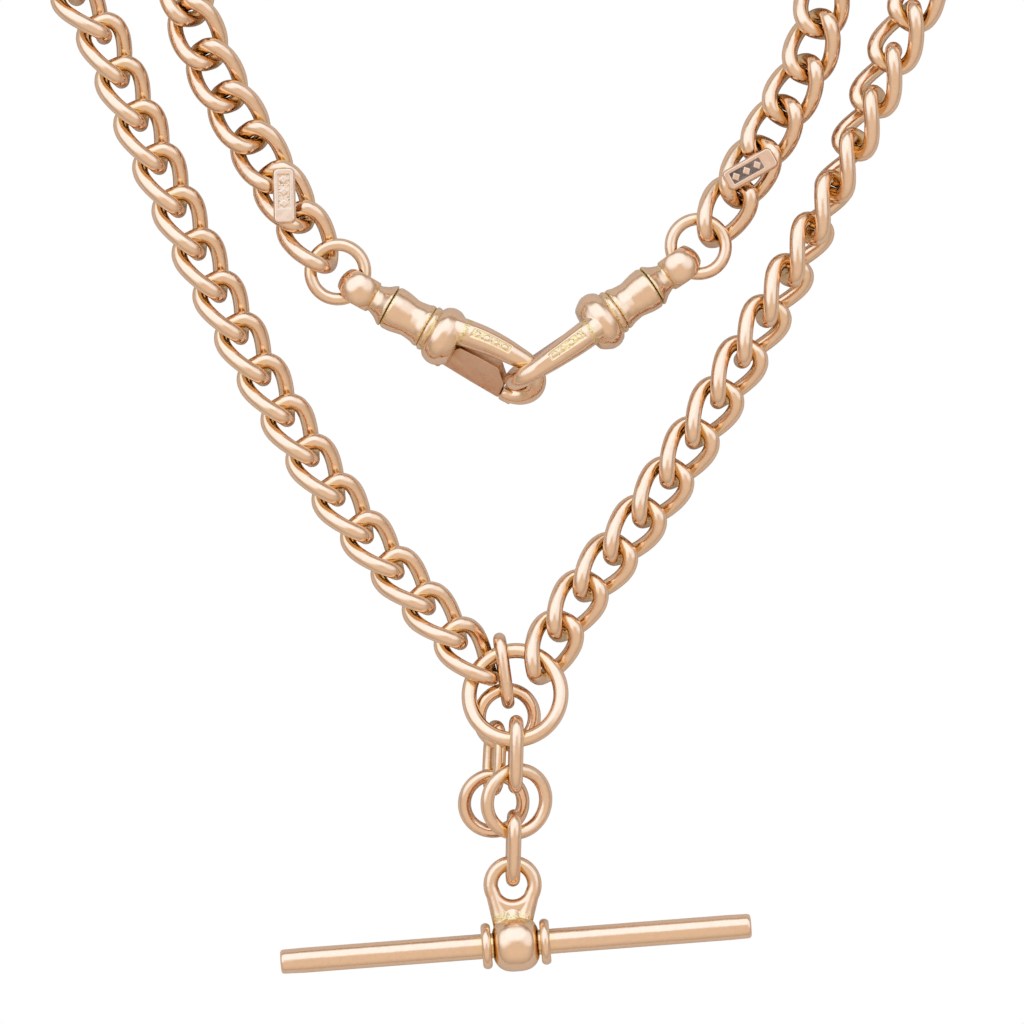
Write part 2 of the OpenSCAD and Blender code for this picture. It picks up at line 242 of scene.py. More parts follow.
def corner_curve(before, corner, after, radius, shares):
    """Points on a short curve that rounds one corner."""
    cut = min(radius, np.linalg.norm(corner - before) * 0.45, np.linalg.norm(after - corner) * 0.45)
    start = corner + cut * unit(before - corner)
    end = corner + cut * unit(after - corner)
    return [(1 - t) ** 2 * start + 2 * t * (1 - t) * corner + t ** 2 * end for t in shares]


def rounded(outline, radius, steps=5):
    """Rounds the corners of an open [station, radius] outline."""
    points = [np.array(p, float) for p in outline]
    result = [points[0]]
    for before, corner, after in zip(points, points[1:], points[2:]):
        result += corner_curve(before, corner, after, radius, np.linspace(0, 1, steps + 1))
    return result + [points[-1]]


def placed(verts, middle, axes):
    return np.asarray(verts) @ axes + middle


def mesh_object(name, verts, faces):
    mesh = bpy.data.meshes.new(name)
    mesh.from_pydata([tuple(v) for v in verts], [], faces)
    mesh.update()
    made = bpy.data.objects.new(name, mesh)
    bpy.context.scene.collection.objects.link(made)
    return made


def fused(name, solids_in, cuts, voxel, smoothing, material, node, dress=None):
    """One skin round several overlapping solids less the cuts, with softly filleted joins."""
    base = mesh_object(name, *solids_in[0])
    for kind, group in (("UNION", solids_in[1:]), ("DIFFERENCE", cuts)):
        for verts, faces in group:
            tool = mesh_object(name + "_tool", verts, faces)
            step = base.modifiers.new("cut", "BOOLEAN")
            step.operation = kind
            step.solver = "EXACT"
            step.object = tool
            bake(base)
            bpy.data.objects.remove(tool)
    remesh = base.modifiers.new("skin", "REMESH")
    remesh.mode = "VOXEL"
    remesh.voxel_size = voxel
    smooth = base.modifiers.new("soften", "SMOOTH")
    smooth.factor = 0.5
    smooth.iterations = smoothing
    bake(base)
    mesh = base.data
    mesh.polygons.foreach_set("use_smooth", [True] * len(mesh.polygons))
    mesh.materials.clear()
    mesh.materials.append(material)
    if dress:
        paint(mesh, *dress(points_of(mesh)))
    claim(base, node)
    return base


def points_of(mesh):
    points = np.empty(len(mesh.vertices) * 3)
    mesh.vertices.foreach_get("co", points)
    return points.reshape(-1, 3)


def paint(mesh, solder, moved):
    """Moves the points of a mesh, and stores how much solder or stamping each one carries."""
    mesh.vertices.foreach_set("co", np.clip(moved, CAD_LOW, CAD_HIGH).ravel())
    mask = mesh.attributes.new("solder", "FLOAT", "POINT")
    mask.data.foreach_set("value", np.clip(solder, 0, 1).astype(np.float32))
    mesh.update()


def bake(obj):
    """Applies every modifier on an object."""
    graph = bpy.context.evaluated_depsgraph_get()
    mesh = bpy.data.meshes.new_from_object(obj.evaluated_get(graph))
    old = obj.data
    obj.modifiers.clear()
    obj.data = mesh
    bpy.data.meshes.remove(old)


# ---------------------------------------------------------------- materials
def node_set(material):
    material.use_nodes = True
    tree = material.node_tree
    return tree, tree.nodes, tree.links, tree.nodes["Principled BSDF"]


def noise(tree, place, scale, detail):
    texture = tree.nodes.new("ShaderNodeTexNoise")
    texture.inputs["Scale"].default_value = scale
    texture.inputs["Detail"].default_value = detail
    tree.links.new(place, texture.inputs["Vector"])
    return texture.outputs["Fac"]


def ranged(tree, value, low, high, to_low, to_high):
    step = tree.nodes.new("ShaderNodeMapRange")
    step.inputs["From Min"].default_value = low
    step.inputs["From Max"].default_value = high
    step.inputs["To Min"].default_value = to_low
    step.inputs["To Max"].default_value = to_high
    tree.links.new(value, step.inputs["Value"])
    return step.outputs["Result"]


def combined(tree, kind, first, second):
    step = tree.nodes.new("ShaderNodeMath")
    step.operation = kind
    step.use_clamp = True
    tree.links.new(first, step.inputs[0])
    tree.links.new(second, step.inputs[1])
    return step.outputs[0]


def mixed(tree, factor, first, second):
    """Blends from a colour or a colour socket towards a second colour."""
    step = tree.nodes.new("ShaderNodeMix")
    step.data_type = "RGBA"
    if isinstance(first, tuple):
        step.inputs["A"].default_value = (*first, 1)
    else:
        tree.links.new(first, step.inputs["A"])
    step.inputs["B"].default_value = (*second, 1)
    tree.links.new(factor, step.inputs["Factor"])
    return step.outputs["Result"]


def bumped(tree, height, strength, distance, under=None):
    step = tree.nodes.new("ShaderNodeBump")
    step.inputs["Strength"].default_value = strength
    step.inputs["Distance"].default_value = distance
    tree.links.new(height, step.inputs["Height"])
    if under:
        tree.links.new(under, step.inputs["Normal"])
    return step.outputs["Normal"]


def gold_material(name, main, recess_reflection_tint, roughness, scratch=0.5, solder_tint=(0.90, 0.68, 0.33),
                  dirt_and_shade=(0.26, 0.14, 0.06)):
    """Polished rose gold: painted yellow reflection in recesses, painted shade in the deepest corners, rough
    solder and stamps, fine scratches, soft dents.
    """
    material = bpy.data.materials.new(name)
    tree, nodes, links, shader = node_set(material)
    shader.inputs["Metallic"].default_value = 1.0
    place = nodes.new("ShaderNodeTexCoord").outputs["Object"]
    drift = noise(tree, place, 260.0, 3.0)
    recess = nodes.new("ShaderNodeAmbientOcclusion")
    recess.samples = 6
    recess.inputs["Distance"].default_value = 1.1 * MM
    depth = ranged(tree, recess.outputs["AO"], 0.30, 0.95, 1.0, 0.0)
    # Painted reflection: where the AO node finds the surface hemmed in, the colour is blended towards a yellow
    # tint that stands for light bounced between gold surfaces.
    painted_recess_reflection = combined(tree, "MULTIPLY", depth, ranged(tree, drift, 0.3, 0.7, 0.55, 1.0))
    mottle = ranged(tree, noise(tree, place, 2400.0, 5.0), 0.40, 0.70, 0.0, 0.35)
    colour = mixed(tree, mottle, main, tuple(0.86 * channel for channel in main))
    colour = mixed(tree, painted_recess_reflection, colour, recess_reflection_tint)
    solder = nodes.new("ShaderNodeAttribute")
    solder.attribute_name = "solder"
    grain = noise(tree, place, 5500.0, 3.0)
    patches = combined(tree, "MULTIPLY", solder.outputs["Fac"], ranged(tree, drift, 0.3, 0.6, 0.55, 1.0))
    colour = mixed(tree, patches, colour, solder_tint)
    specks = combined(tree, "MULTIPLY", solder.outputs["Fac"], ranged(tree, grain, 0.56, 0.68, 0.0, 0.85))
    colour = mixed(tree, specks, colour, dirt_and_shade)
    # Painted shade: the deepest corners, found by the AO node and broken up by grain noise, are darkened towards
    # the dark colour; the same colour also marks the real pits in solder.
    corners = ranged(tree, recess.outputs["AO"], 0.06, 0.34, 1.0, 0.0)
    painted_corner_shade = combined(tree, "MULTIPLY", corners, ranged(tree, grain, 0.42, 0.62, 0.15, 0.9))
    colour = mixed(tree, painted_corner_shade, colour, dirt_and_shade)
    links.new(colour, shader.inputs["Base Color"])

    wear = ranged(tree, noise(tree, place, 1500.0, 4.0), 0.3, 0.75, roughness * 0.6, roughness * 1.6)
    rough = combined(tree, "ADD", wear, ranged(tree, solder.outputs["Fac"], 0.0, 1.0, 0.0, 0.07))
    links.new(rough, shader.inputs["Roughness"])

    stretch = nodes.new("ShaderNodeMapping")
    stretch.inputs["Scale"].default_value = (1.0, 0.12, 0.5)
    stretch.inputs["Rotation"].default_value = (0.3, 0.5, 0.7)
    links.new(place, stretch.inputs["Vector"])
    dents = bumped(tree, noise(tree, place, 1100.0, 2.0), 0.5, 0.04 * MM)
    lines = bumped(tree, noise(tree, stretch.outputs["Vector"], 16000.0, 2.0), scratch, 0.004 * MM, dents)
    pits = combined(tree, "MULTIPLY", solder.outputs["Fac"], grain)
    links.new(bumped(tree, pits, 1.0, 0.08 * MM, lines), shader.inputs["Normal"])
    return material


def steel_material():
    """Plain spring steel with a drawn grain."""
    material = bpy.data.materials.new("spring_steel")
    tree, nodes, links, shader = node_set(material)
    shader.inputs["Metallic"].default_value = 1.0
    place = nodes.new("ShaderNodeTexCoord").outputs["Object"]
    tone = noise(tree, place, 3000.0, 4.0)
    links.new(mixed(tree, tone, (0.56, 0.57, 0.60), (0.40, 0.40, 0.42)), shader.inputs["Base Color"])
    links.new(ranged(tree, tone, 0.3, 0.7, 0.25, 0.4), shader.inputs["Roughness"])
    links.new(bumped(tree, tone, 0.3, 0.005 * MM), shader.inputs["Normal"])
    return material


# The second colour of each gold is its painted reflection tint for recesses.
ROSE = gold_material("rose_gold", (0.95, 0.665, 0.46), (0.90, 0.66, 0.33), 0.13, 0.9)
SATIN = gold_material("rose_gold_satin", (0.80, 0.51, 0.35), (0.74, 0.47, 0.26), 0.32, 0.6)
PLATE = gold_material("rose_gold_plate", (0.93, 0.70, 0.54), (0.88, 0.62, 0.38), 0.22,
                      solder_tint=(0.90, 0.66, 0.46))
DARK_PLATE = gold_material("rose_gold_plate_dark", (0.91, 0.64, 0.47), (0.84, 0.56, 0.30), 0.2,
                           solder_tint=(0.13, 0.09, 0.08), dirt_and_shade=(0.04, 0.03, 0.03))
PIN = gold_material("rose_gold_pin", (0.82, 0.53, 0.36), (0.70, 0.44, 0.18), 0.25)
STEEL = steel_material()


# ---------------------------------------------------------------- links and rings
def oval_path(half_length, half_width, twist, squareness, steps):
    """A loop of points round a twisted oval, along X, wide in Y at the middle."""
    turn = np.linspace(0, 2 * math.pi, steps, endpoint=False)
    power = 2 / squareness
    x = half_length * np.sign(np.cos(turn)) * np.abs(np.cos(turn)) ** power
    y = half_width * np.sign(np.sin(turn)) * np.abs(np.sin(turn)) ** power
    angle = -twist * x / half_length
    path = np.stack([x, y * np.cos(angle), y * np.sin(angle)], 1)
    # even spacing round the loop keeps the sections square
    closed = np.vstack([path, path[:1]])
    length = np.concatenate([[0], np.cumsum(np.linalg.norm(np.diff(closed, axis=0), axis=1))])
    even = np.linspace(0, length[-1], steps, endpoint=False)
    return np.stack([np.interp(even, length, closed[:, i]) for i in range(3)], 1)


def curb_links(node):
    """All the twisted links of one node, as one piece."""
    links = []
    for points in solids(node):
        middle, axes, half = own_frame(points)
        path = oval_path(half[0] - LINK_CAD_WIRE / 2, LINK_HALF_WIDTH, LINK_TWIST, LINK_SQUARENESS, 288)[::3]
        radii = np.full(len(path), LINK_WIRE / 2)
        verts, faces = swept(path, path, radii, 20)
        links.append((placed(verts, middle, axes), faces))
    add_piece(node + "_wire", *joined(links), ROSE, node)


def wire_ring(node, thicker=0.0):
    """A plain round ring in place of a torus node."""
    middle, axes, half = own_frame(solids(node)[0])
    wire = half[2]
    path = circle((half[0] + half[1]) / 2 - wire, 144)
    verts, faces = swept(path, path, np.full(144, wire + thicker), 28)
    add_piece(node + "_wire", placed(verts, middle, axes), faces, ROSE, node)


def oval_link(node):
    """A plain oval link in place of a flat oval node."""
    middle, axes, half = own_frame(solids(node)[0])
    wire = half[2]
    path = oval_path(half[0] - wire, half[1] - wire, 0.0, OVAL_SQUARENESS, 432)[::3]
    verts, faces = swept(path, path, np.full(len(path), wire), 28)
    add_piece(node + "_wire", placed(verts, middle, axes), faces, ROSE, node)


for name in sorted(NODES):
    if "_links_" in name:
        curb_links(name)
for name in ("central_ring", "drop_ring", "fob_upper_ring", "fob_end_ring"):
    wire_ring(name)
for name in ("left_jump_ring", "right_jump_ring"):
    wire_ring(name, 0.06 * MM)
for name in ("drop_upper_link", "drop_lower_link", "fob_upper_link", "fob_long_link"):
    oval_link(name)


# ---------------------------------------------------------------- T-bar
def tbar_frame():
    """Middle of the ball, the axes (along the rod first) and the rod's radius."""
    joint = JOINTS["tbar_spin"]
    along = unit(joint["axis"])
    axes = np.array([along, unit(np.cross([0, 0, 1], along)), [0, 0, 1]])
    heights = solids("tbar_rod")[0][:, 2]
    return np.array(joint["pos_m"]), axes, (heights.max() - heights.min()) / 2


def tbar_rod():
    """Plain round rod with softened ends."""
    middle, axes, rod_r = tbar_frame()
    half = own_frame(solids("tbar_rod")[0])[2][0]
    end = rounded([(half - 2 * MM, rod_r), (half, rod_r * 0.97), (half, 0)], 0.35 * MM, 6)
    outline = [(-x, r) for x, r in reversed(end)]
    outline += [(x, rod_r) for x in np.linspace(-half + 2 * MM, half - 2 * MM, 40)[1:-1]] + end
    verts, faces = turned([tuple(p) for p in outline], 64)
    add_piece("tbar_rod_turned", placed(verts, middle, axes), faces, ROSE, "tbar_rod")


def tbar_collars():
    """The two rounded collars that hold the rod in the ball, as one piece."""
    middle, axes, rod_r = tbar_frame()
    collars = []
    for points in solids("tbar_collars"):
        centre, _, half = own_frame(points)
        radius, width = half[0], half[2] * COLLAR_SHARE
        profile = rounded([
            (-width, rod_r * 0.9), (-width, radius * 0.9), (-width * 0.4, radius),
            (width * 0.4, radius), (width, radius * 0.9), (width, rod_r * 0.9)], 0.4 * MM, 6)
        verts, faces = turned([(-width, 0)] + [tuple(p) for p in profile] + [(width, 0)], 96)
        inwards = half[2] * (1 - COLLAR_SHARE) * unit(middle - centre)
        collars.append((placed(verts, centre + inwards, axes), faces))
    add_piece("tbar_collars_turned", *joined(collars), ROSE, "tbar_collars")


def squared_ball(middle, axes, half_width, radius):
    """A ball with slightly flattened sides."""
    outline = []
    for a in np.linspace(-math.pi / 2, math.pi / 2, 50):
        x = half_width * math.copysign(abs(math.sin(a)) ** BALL_POWER, a)
        outline.append((x, radius * max(math.cos(a), 0) ** BALL_POWER))
    outline[0], outline[-1] = (-half_width, 0), (half_width, 0)
    verts, faces = turned(outline, 96)
    return placed(verts, middle, axes), faces


def eye_legs(eye_middle):
    """Three tapered legs from the eye into the ball."""
    legs = []
    for top_x, top_y, foot_x, foot_r in TBAR_LEGS:
        top = eye_middle + np.array([top_x, top_y, 0]) * MM
        foot = eye_middle + np.array([foot_x, -3.8, 0]) * MM
        line = np.array([top + (foot - top) * t for t in np.linspace(0, 1, 8)])
        radii = np.linspace(0.62, foot_r, 8) * MM
        legs.append(swept(line, np.tile([0, 0, 1.0], (8, 1)), radii, 24, closed=False))
    return legs


def tbar_eye_ball():
    """The ball with its eye on three legs, bored for the rod."""
    middle, axes, rod_r = tbar_frame()
    low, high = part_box("tbar_eye_ball")
    ball_r = (high.z - low.z) / 2
    ball = squared_ball(middle, axes, BALL_WIDTH / 2 + 0.05 * MM, ball_r)
    eye_y = high.y - TBAR_EYE_R - TBAR_EYE_WIRE / 2
    eye_middle = np.array([middle[0] - 0.3 * MM, eye_y, middle[2]])
    path = circle(TBAR_EYE_R, 96)
    verts, faces = swept(path, path, np.full(96, TBAR_EYE_WIRE / 2), 24)
    eye = (verts + eye_middle, faces)
    verts, faces = turned([(-4 * MM, 0), (-4 * MM, rod_r), (4 * MM, rod_r), (4 * MM, 0)], 48)
    bore = (placed(verts, middle, axes), faces)

    def dress(points):
        join = eye_middle[1] - TBAR_EYE_R - TBAR_EYE_WIRE * 0.75
        seam = np.exp(-((points[:, 1] - join) / (0.4 * MM)) ** 2)
        near = np.linalg.norm(points - middle, axis=1) > ball_r * 0.98
        return seam * near * 0.9, points

    solids_in = [ball, eye] + eye_legs(eye_middle)
    fused("tbar_eye_ball_cast", solids_in, [bore], 0.06 * MM, 6, ROSE, "tbar_eye_ball", dress)


tbar_rod()
tbar_collars()
tbar_eye_ball()


# ---------------------------------------------------------------- swivel clips
def in_clip(side, shape):
    middle, axes = clip_frame(side)
    return placed(shape[0], middle, axes), shape[1]


def side_cut(side, along_wire):
    """The two blocks that leave the eye flat where the jump ring's wire comes out."""
    middle, axes = clip_frame(side)
    across = unit(along_wire - axes[0] * (along_wire @ axes[0]))
    block_axes = np.array([axes[0], across, np.cross(axes[0], across)])
    blocks = []
    for way in (-1, 1):
        near, far = sorted((way * EYE_HALF_WIDTH, way * 4 * MM))
        corners = block(-4 * MM, NECK_X, near, far, -4 * MM, 4 * MM)
        blocks.append((placed(corners, middle, block_axes), BLOCK_FACES))
    return blocks


def swivel_eye(side):
    """Domed eye bored for the jump ring, on a flared neck with the post that turns in the barrel."""
    node = side + "_swivel_eye"
    dome = [(-EYE_R * math.cos(a), EYE_R * math.sin(a)) for a in np.linspace(0, math.radians(132), 30)]
    dome[0] = (-EYE_R, 0)
    flare = rounded([dome[-1], (1.5 * MM, 1.2 * MM), (2.2 * MM, 1.5 * MM), (2.8 * MM, 1.96 * MM),
        (3.0 * MM, 1.96 * MM), (3.0 * MM, POST_R)], 0.16 * MM, 4)
    outline = dome + [tuple(p) for p in flare][1:]
    outline += [(4.9 * MM, POST_R), (4.9 * MM, 1.05 * MM), (5.5 * MM, 1.05 * MM), (5.5 * MM, 0)]
    ring_middle, ring_axes, half = own_frame(solids(side + "_jump_ring")[0])
    path = circle((half[0] + half[1]) / 2 - half[2], 144)
    bore = swept(path, path, np.full(144, EYE_BORE_R), 32)
    bore = (placed(bore[0], ring_middle, ring_axes), bore[1])
    wire_run = np.cross(ring_axes[2], unit(clip_frame(side)[0] - ring_middle))
    cuts = [bore] + side_cut(side, wire_run)

    def dress(points):
        x = local(side, points)[:, 0]
        return 0.8 * groove(x, NECK_X, 0.1 * MM) + groove(x, 3.0 * MM, 0.14 * MM), points

    fused(node + "_cast", [in_clip(side, turned(outline))], cuts, 0.05 * MM, 5, ROSE, node, dress)


def local(side, points):
    middle, axes = clip_frame(side)
    return (points - middle) @ axes.T


def groove(x, at, width):
    return np.exp(-((x - at) / width) ** 2)


def swivel_barrel(side):
    """Waisted barrel with a soldered seam at each end."""
    node = side + "_swivel_barrel"
    start, end = BARREL_X
    outline = rounded([
        (start, 0.77 * MM), (start, 1.86 * MM), (3.3 * MM, 2.0 * MM), (4.0 * MM, 1.97 * MM),
        (5.2 * MM, 1.72 * MM), (6.1 * MM, 1.84 * MM), (6.5 * MM, 2.0 * MM), (end, 1.97 * MM), (end, 0)],
        0.22 * MM, 5)
    shell = turned([(start, 0)] + [tuple(p) for p in outline], 128)
    cavity = turned([(2.9 * MM, 0), (2.9 * MM, 0.77 * MM), (4.78 * MM, 0.77 * MM), (4.78 * MM, 1.17 * MM),
        (5.62 * MM, 1.17 * MM), (5.62 * MM, 0)], 64)

    def dress(points):
        x = local(side, points)[:, 0]
        return groove(x, start, 0.2 * MM) + groove(x, end, 0.22 * MM), points

    fused(node + "_cast", [in_clip(side, shell)], [in_clip(side, cavity)], 0.055 * MM, 2, ROSE, node, dress)


def spine_y(x):
    """The spine's side step from the clip's axis, which grows in a gentle curve from the collar."""
    share = np.clip((x - SPINE_X) / (5.2 * MM), 0, 1)
    return -ROOT_HALF_GAP - (HOOK_HALF_GAP - ROOT_HALF_GAP) * np.sin(share * math.pi / 2)


def spine_line():
    """The hook's centre line in the clip's plane, from inside the collar round to its tip."""
    line = [np.array([x, spine_y(x)]) for x in np.linspace(SPINE_X, HOOK_BEND_X, 30)[:-1]]
    line += [np.array([HOOK_BEND_X + HOOK_HALF_GAP * math.cos(a), HOOK_HALF_GAP * math.sin(a)])
             for a in np.linspace(-math.pi / 2, math.pi / 2, 32)]
    line.append(np.array([HOOK_BEND_X - 0.22 * MM, HOOK_HALF_GAP - 0.07 * MM]))
    return np.array([(x, y, 0) for x, y in line])


def stamp_depth(side, points):
    """How deep each point lies in the sunken panel of plain studs on top of the spine."""
    _, axes = clip_frame(side)
    p = local(side, points)
    centre_y = spine_y(p[:, 0])
    up = axes @ np.array([0, 0.25, 1.0])
    angle = np.arctan2(p[:, 2], p[:, 1] - centre_y) - math.atan2(up[2], up[1])
    across = (np.arctan2(np.sin(angle), np.cos(angle))) * 1.15 * MM
    panel = np.maximum(np.abs(p[:, 0] - STAMP_X) - 1.9 * MM, np.abs(across) - 0.46 * MM)
    depth = np.clip(-panel / (0.1 * MM), 0, 1)
    for at, power in zip(STUDS_X, (1, 2, 1, 2)):
        # power 1 is a lozenge and power 2 a round stud
        along, aside = np.abs(p[:, 0] - at) / (0.3 * MM), np.abs(across) / (0.3 * MM)
        out = (along ** power + aside ** power) ** (1 / power)
        depth -= np.clip((1 - out) * 4, 0, 1) * 0.7
    depth = np.clip(depth, 0, 1)
    return depth * (p[:, 1] < 0)


def hook(side):
    """Fat double-curved collar, round spine with stamped panels, and the curved end."""
    node = side + "_hook"
    start, end = COLLAR_X
    collar = rounded([
        (start, 1.9 * MM), (6.95 * MM, 2.1 * MM), (7.2 * MM, 2.1 * MM), (7.35 * MM, 1.98 * MM),
        (7.6 * MM, 2.4 * MM), (8.2 * MM, 2.7 * MM), (8.9 * MM, 2.7 * MM), (9.6 * MM, 2.3 * MM),
        (9.95 * MM, 2.0 * MM), (end, 1.2 * MM)], 0.26 * MM, 6)
    collar = turned([(start, 0)] + [tuple(p) for p in collar] + [(end, 0)], 128)
    path = spine_line()
    share = np.linspace(0, 1, len(path))
    radii = np.interp(share, [0, 0.2, 0.4, 0.5, 0.98, 1], np.array([1.28, 1.2, 1.0, 0.86, 0.85, 0.74]) * MM)
    rod = swept(path, np.tile([0, 0, 1.0], (len(path), 1)), radii, 40, closed=False)
    tip = (block(15.42 * MM, 16.5 * MM, 1.42 * MM, 2.88 * MM, -0.62 * MM, 0.62 * MM), BLOCK_FACES)
    slot = (block(8.05 * MM, 12 * MM, 0.6 * MM, 4 * MM, -0.7 * MM, 0.7 * MM), BLOCK_FACES)
    # the slot is deeper at the collar's face, where the gate's inner edge swings in
    mouth = (block(9.1 * MM, 12 * MM, -0.42 * MM, 4 * MM, -0.7 * MM, 0.7 * MM), BLOCK_FACES)

    def dress(points):
        p = local(side, points)
        stamp = stamp_depth(side, points)
        inward = np.stack([0 * p[:, 0], spine_y(p[:, 0]) - p[:, 1], -p[:, 2]], 1)
        inward /= np.maximum(np.linalg.norm(inward, axis=1), 1e-9)[:, None]
        moved = points + (inward * (stamp * 0.13 * MM)[:, None]) @ clip_frame(side)[1]
        root = groove(p[:, 0], 10.05 * MM, 0.22 * MM) * (p[:, 1] < 0)
        return stamp + root + groove(p[:, 0], 7.3 * MM, 0.12 * MM), moved

    parts = [in_clip(side, shape) for shape in (collar, rod, tip)]
    cuts = [in_clip(side, slot), in_clip(side, mouth)]
    fused(node + "_cast", parts, cuts, 0.05 * MM, 3, ROSE, node, dress)


def block(x0, x1, y0, y1, z0, z1):
    return np.array([(x, y, z) for x in (x0, x1) for y in (y0, y1) for z in (z0, z1)])


BLOCK_FACES = [(0, 1, 3, 2), (4, 6, 7, 5), (0, 4, 5, 1), (2, 3, 7, 6), (0, 2, 6, 4), (1, 5, 7, 3)]


def rounded_outline(corners, radius, steps=6):
    """Closed outline through the corners, each rounded."""
    points = [np.array(c, float) for c in corners]
    line = []
    for i, corner in enumerate(points):
        after = points[(i + 1) % len(points)]
        line += corner_curve(points[i - 1], corner, after, radius, np.linspace(0, 1, steps))
    return np.array(line)


def stacked(loops):
    """Solid skin through a stack of outlines with the same number of points, capped at both ends."""
    count = len(loops[0])
    faces = [tuple(range(count - 1, -1, -1))]
    for low in range(len(loops) - 1):
        for j in range(count):
            k = (j + 1) % count
            faces.append((low * count + j, low * count + k, (low + 1) * count + k, (low + 1) * count + j))
    faces.append(tuple((len(loops) - 1) * count + j for j in range(count)))
    return np.vstack(loops), faces


def bevelled(outline, half, bevel, steps=4):
    """Plate of the given half thickness with rounded edges, thinner outlines drawn towards the middle."""
    centre = outline.mean(0)
    size = np.linalg.norm(outline - centre, axis=1).mean()
    loops = []
    for angle in np.linspace(-math.pi / 2, math.pi / 2, 2 * steps):
        inset = 1 - bevel * (1 - math.cos(angle)) / size
        height = math.copysign(half - bevel, angle) + bevel * math.sin(angle)
        loop = centre + (outline - centre) * inset
        loops.append(np.column_stack([loop, np.full(len(loop), height)]))
    return stacked(loops)


def gate(side):
    """Flat satin lever on its pin, reaching from the collar to the tip of the hook."""
    node = side + "_gate"
    corners = [(8.45, 1.75), (8.75, 1.1), (9.2, 0.92), (9.6, 0.75), (10.3, -0.2), (12.3, -0.36),
               (14.2, -0.34), (15.3, 1.1), (15.34, 2.8), (12.5, 2.72), (9.4, 2.54), (8.7, 2.35)]
    outline = rounded_outline(np.array(corners) * MM, 0.16 * MM)
    verts, faces = bevelled(outline, 0.57 * MM, 0.08 * MM)
    middle, axes = clip_frame(side)
    add_piece(node + "_plate", placed(verts, middle, axes), faces, SATIN, node)


def gate_pin(side):
    """Small pin with domed ends."""
    node = side + "_gate_pin"
    middle, axes, half = own_frame(solids(node)[0])
    end, radius = half[0], half[2] * 0.9
    outline = rounded([(-end, 0), (-end, radius), (end, radius), (end, 0)], 0.2 * MM, 5)
    verts, faces = turned([tuple(p) for p in outline], 40)
    add_piece(node + "_peg", placed(verts, middle, axes), faces, PIN, node, slot="rose_gold_pin")


def gate_spring(side):
    """Thin steel leaf with rounded corners."""
    node = side + "_gate_spring"
    middle, axes, half = own_frame(solids(node)[0])
    corners = [(x * half[0], y * half[1]) for x, y in ((-1, -1), (1, -1), (1, 1), (-1, 1))]
    verts, faces = bevelled(rounded_outline(corners, 0.2 * MM), half[2], half[2] * 0.4)
    add_piece(node + "_leaf", placed(verts, middle, axes), faces, STEEL, node, slot="spring_steel")


def tag_plate(side):
    """Rounded plate with a sunken panel that holds three small plain lozenges."""
    node = side + "_tag_plate"
    middle, axes, half = own_frame(solids(node)[0])
    if axes[2][2] < 0:
        axes = axes * np.array([[1], [-1], [-1]])
    columns, rows = 120, 60
    u, v = np.meshgrid(np.linspace(-1, 1, columns), np.linspace(-1, 1, rows), indexing="ij")
    x, y = u * half[0], v * half[1]
    corner = 0.5 * MM
    past_x, past_y = np.abs(x) - half[0], np.abs(y) - half[1]
    out = np.hypot(np.maximum(past_x + corner, 0), np.maximum(past_y + corner, 0)) - corner
    out = np.maximum(out, np.maximum(past_x, past_y))
    edge = np.clip(-out / (0.22 * MM), 0, 1)
    height = half[2] * (2 * np.sqrt(1 - (1 - edge) ** 2) - 1)
    panel_x, panel_y = np.abs(x - 0.15 * half[0]) - half[0] * 0.62, np.abs(y) - half[1] * 0.56
    sunk = np.clip(-np.maximum(panel_x, panel_y) / (0.08 * MM), 0, 1)
    motif = np.zeros_like(x)
    for at in (-0.28, 0.15, 0.58):
        lozenge = 1 - (np.abs(x - at * half[0]) / (0.42 * MM) + np.abs(y) / (0.46 * MM))
        motif = np.maximum(motif, np.clip(lozenge * 5, 0, 1))
    height = height - (sunk - 0.75 * motif * sunk) * 0.13 * MM
    top = np.stack([x, y, height], -1).reshape(-1, 3)
    under = np.stack([x, y, np.full_like(x, -half[2])], -1).reshape(-1, 3)
    keep = out <= 1e-9
    verts, faces, mask = grid_solid(top, under, keep, columns, rows, sunk * (1 - motif))
    material = PLATE if side == "left" else DARK_PLATE
    verts = placed(verts, middle, axes)
    piece = add_piece(node + "_stamped", verts, faces, material, node, slot="rose_gold_plate")
    attribute = piece.data.attributes.new("solder", "FLOAT", "POINT")
    attribute.data.foreach_set("value", mask.astype(np.float32))


def grid_solid(top, under, keep, columns, rows, mask):
    """Closed solid from two matching grids, using only the cells whose corners are all kept."""
    verts = np.vstack([top, under])
    inside = keep.reshape(columns, rows)
    index = np.arange(columns * rows).reshape(columns, rows)
    cells = inside[:-1, :-1] & inside[1:, :-1] & inside[1:, 1:] & inside[:-1, 1:]
    faces, edges = [], {}
    shift = columns * rows
    for i, j in zip(*np.nonzero(cells)):
        loop = (index[i, j], index[i + 1, j], index[i + 1, j + 1], index[i, j + 1])
        faces.append(tuple(int(n) for n in loop))
        faces.append(tuple(int(n) + shift for n in reversed(loop)))
        for a, b in zip(loop, loop[1:] + loop[:1]):
            edges[(int(a), int(b))] = edges.get((int(b), int(a)), 0) + 1
    for a, b in list(edges):
        if (b, a) not in edges:
            faces.append((b, a, a + shift, b + shift))
    used = sorted({n for face in faces for n in face})
    renumber = {n: i for i, n in enumerate(used)}
    faces = [tuple(renumber[n] for n in face) for face in faces]
    values = np.concatenate([mask.ravel(), np.zeros(shift)])
    return verts[used], faces, values[used]


for side in SIDES:
    swivel_eye(side)
    swivel_barrel(side)
    hook(side)
    gate(side)
    gate_pin(side)
    gate_spring(side)
    tag_plate(side)


